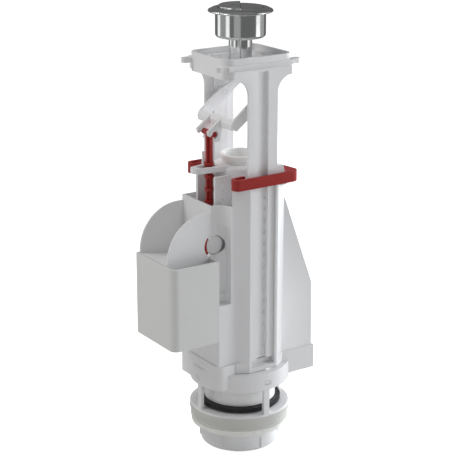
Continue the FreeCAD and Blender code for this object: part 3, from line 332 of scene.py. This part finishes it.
# A shallow finger hollow lies across the split, a little towards the front.
split_bearing = math.radians(-33.7)
hollow_place = Vector((-2.8 * mm, -4.4 * mm))
hollow_place.rotate(Matrix.Rotation(split_bearing, 2))
hollow_radius = 9.0 * mm
hollow_depth = 1.1 * mm
press_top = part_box("small_button")[1][2]
hollow_middle = (hollow_place.x, hollow_place.y, press_top + hollow_radius - hollow_depth)
for half in (large_half, small_half):
    ball_mesh = bpy.data.meshes.new("ball")
    ball = bpy.data.objects.new("ball", ball_mesh)
    bpy.context.scene.collection.objects.link(ball)
    shape = bmesh.new()
    bmesh.ops.create_uvsphere(shape, u_segments=96, v_segments=64, radius=hollow_radius)
    bmesh.ops.translate(shape, verts=shape.verts, vec=hollow_middle)
    shape.to_mesh(ball_mesh)
    shape.free()
    ball_mesh.materials.append(chrome.material)
    cut = half.modifiers.new("hollow", "BOOLEAN")
    cut.object = ball
    cut.solver = "EXACT"
    bpy.context.view_layer.update()
    carved = bpy.data.meshes.new_from_object(half.evaluated_get(bpy.context.evaluated_depsgraph_get()))
    half.modifiers.clear()
    half.data = carved
    bpy.data.objects.remove(ball)
dress("large_plunger", "large_button", chrome.material)
dress("small_plunger", "small_button", chrome.material)

# Return springs
# Two small coils of drawn wire stand in the button's cup and push its halves up again. Each
# rests on the cup's floor.
draw_mark_size = 0.5 * mm
steel = Surface("spring_steel")
draw_marks = steel.noise(draw_mark_size)
steel.set(
    Base_Color=steel.between(draw_marks, (0.40, 0.40, 0.40), (0.52, 0.52, 0.52)),
    Metallic=1.0,
    Roughness=0.28,
)
for half in ("large", "small"):
    coil = dress(half + "_spring", "button", steel.material, edge=0)
    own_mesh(coil)

# Studio
# A pale floor and an even white surround. A key lamp and a low side lamp stand on the right, and
# a fill lamp high on the left. Grey flags stand around the valve for its chrome, and nothing but
# a mirror sees them.


def on_stage(name, corners, faces):
    mesh = bpy.data.meshes.new(name)
    mesh.from_pydata(corners, [], faces)
    thing = bpy.data.objects.new(name, mesh)
    bpy.context.scene.collection.objects.link(thing)
    return thing


def square(reach, level):
    """The four corners of a level square about the valve."""
    return [(-reach, -reach, level), (reach, -reach, level), (reach, reach, level), (-reach, reach, level)]


def seen_or_mirrored(tree):
    """1 for what the camera or a mirror sees, and 0 for the light that falls on the valve."""
    rays = tree.nodes.new("ShaderNodeLightPath")
    either = tree.nodes.new("ShaderNodeMath")
    either.operation = "MAXIMUM"
    tree.links.new(rays.outputs["Is Camera Ray"], either.inputs[0])
    tree.links.new(rays.outputs["Is Glossy Ray"], either.inputs[1])
    return either.outputs[0]


floor_reach = 6.0
floor_glow = (0.75, 0.75, 0.75)
one_face = [(0, 1, 2, 3)]
floor = on_stage("floor", square(floor_reach, 0), one_face)
floor.location.z = -0.1 * mm
ground = Surface("floor")
in_view = Value(ground, seen_or_mirrored(ground.tree))
ground.set(
    Base_Color=(0.80, 0.80, 0.80),
    Roughness=0.9,
    Emission_Strength=1.0,
    Emission_Color=ground.between(in_view, (0, 0, 0), floor_glow),
)
floor.data.materials.append(ground.material)

surround_light = 0.34
surround_seen = 1.0
world = bpy.data.worlds.new("surround")
bpy.context.scene.world = world
world.use_nodes = True
tree = world.node_tree
strength = tree.nodes.new("ShaderNodeMapRange")
strength.inputs["To Min"].default_value = surround_light
strength.inputs["To Max"].default_value = surround_seen
tree.links.new(seen_or_mirrored(tree), strength.inputs["Value"])
tree.links.new(strength.outputs[0], tree.nodes["Background"].inputs["Strength"])
tree.nodes["Background"].inputs["Color"].default_value = (1, 1, 1, 1)

# Each upright flag has a name, two angles about the valve, counted from the camera towards its
# right, and the tone of its grey.
camera_bearing = -123.73
flags = (
    ("far_left", -180, -124, 0.16),
    ("left", -104, -69, 0.34),
    ("near_left", -51, -30, 0.16),
    ("near", -30, 0, 0.40),
    ("near_right", 0, 74, 0.15),
    ("right", 98, 130, 0.42),
    ("far_right", 130, 180, 0.14),
)
roof_tone = 0.2
ground_tone = 0.35
flag_distance = 0.8
flag_height = 1.4
flag_steps = 8


def set_flag(name, corners, faces, tone):
    """A card of one grey that only mirrors see."""
    flag = on_stage(name + "_flag", corners, faces)
    flag.visible_camera = False
    flag.visible_diffuse = False
    flag.visible_shadow = False
    flag.visible_transmission = False
    flag.visible_volume_scatter = False
    card = Surface(name + "_card")
    card.set(
        Base_Color=(0, 0, 0),
        Roughness=1.0,
        Specular_IOR_Level=0.0,
        Emission_Color=(tone, tone, tone),
        Emission_Strength=1.0,
    )
    flag.data.materials.append(card.material)


for name, first, last, tone in flags:
    bearings = [math.radians(camera_bearing + first + (last - first) * step / flag_steps)
                for step in range(flag_steps + 1)]
    corners = [(flag_distance * math.cos(bearing), flag_distance * math.sin(bearing), level)
               for bearing in bearings for level in (0.0, flag_height)]
    faces = [(2 * step, 2 * step + 2, 2 * step + 3, 2 * step + 1) for step in range(flag_steps)]
    set_flag(name, corners, faces, tone)
set_flag("roof", square(flag_distance, flag_height), one_face, roof_tone)
set_flag("ground", square(flag_distance, 0.0), one_face, ground_tone)

valve_middle = Vector((0, 0, 0.17))
cool = (0.95, 0.975, 1.0)
warm = (1.0, 0.985, 0.955)


def lamp(name, place, size, power, colour, mirrored=True):
    """A square lamp that is turned to the middle of the valve."""
    light = bpy.data.lights.new(name, "AREA")
    light.shape = "SQUARE"
    light.size = size
    light.energy = power
    light.color = colour
    holder = bpy.data.objects.new(name, light)
    bpy.context.scene.collection.objects.link(holder)
    holder.location = place
    holder.visible_glossy = mirrored
    holder.rotation_euler = (valve_middle - Vector(place)).to_track_quat("-Z", "Y").to_euler()


lamp("key", place=(1.20, -0.76, 0.60), size=0.6, power=7.5, colour=cool)
lamp("side", place=(1.30, 0.20, 0.25), size=0.6, power=26.0, colour=cool, mirrored=False)
lamp("fill", place=(-0.80, 0.50, 1.25), size=0.8, power=7.0, colour=warm)

# Camera
# It stands in front and to the left, a little above the valve. Its place, turn and lens are
# fitted to the outlines in the photo.
camera_tilt = math.radians(72.54)
camera_turn = math.radians(camera_bearing + 90)
camera_data = bpy.data.cameras.new("camera")
camera_data.lens = 113.35
camera_data.sensor_width = 36.0
camera_data.clip_end = 50.0
camera = bpy.data.objects.new("camera", camera_data)
bpy.context.scene.collection.objects.link(camera)
camera.location = (-0.5651, -0.8279, 0.4849)
camera.rotation_euler = Euler((camera_tilt, 0.0, camera_turn))
bpy.context.scene.camera = camera
bpy.context.scene.view_settings.view_transform = "Standard"
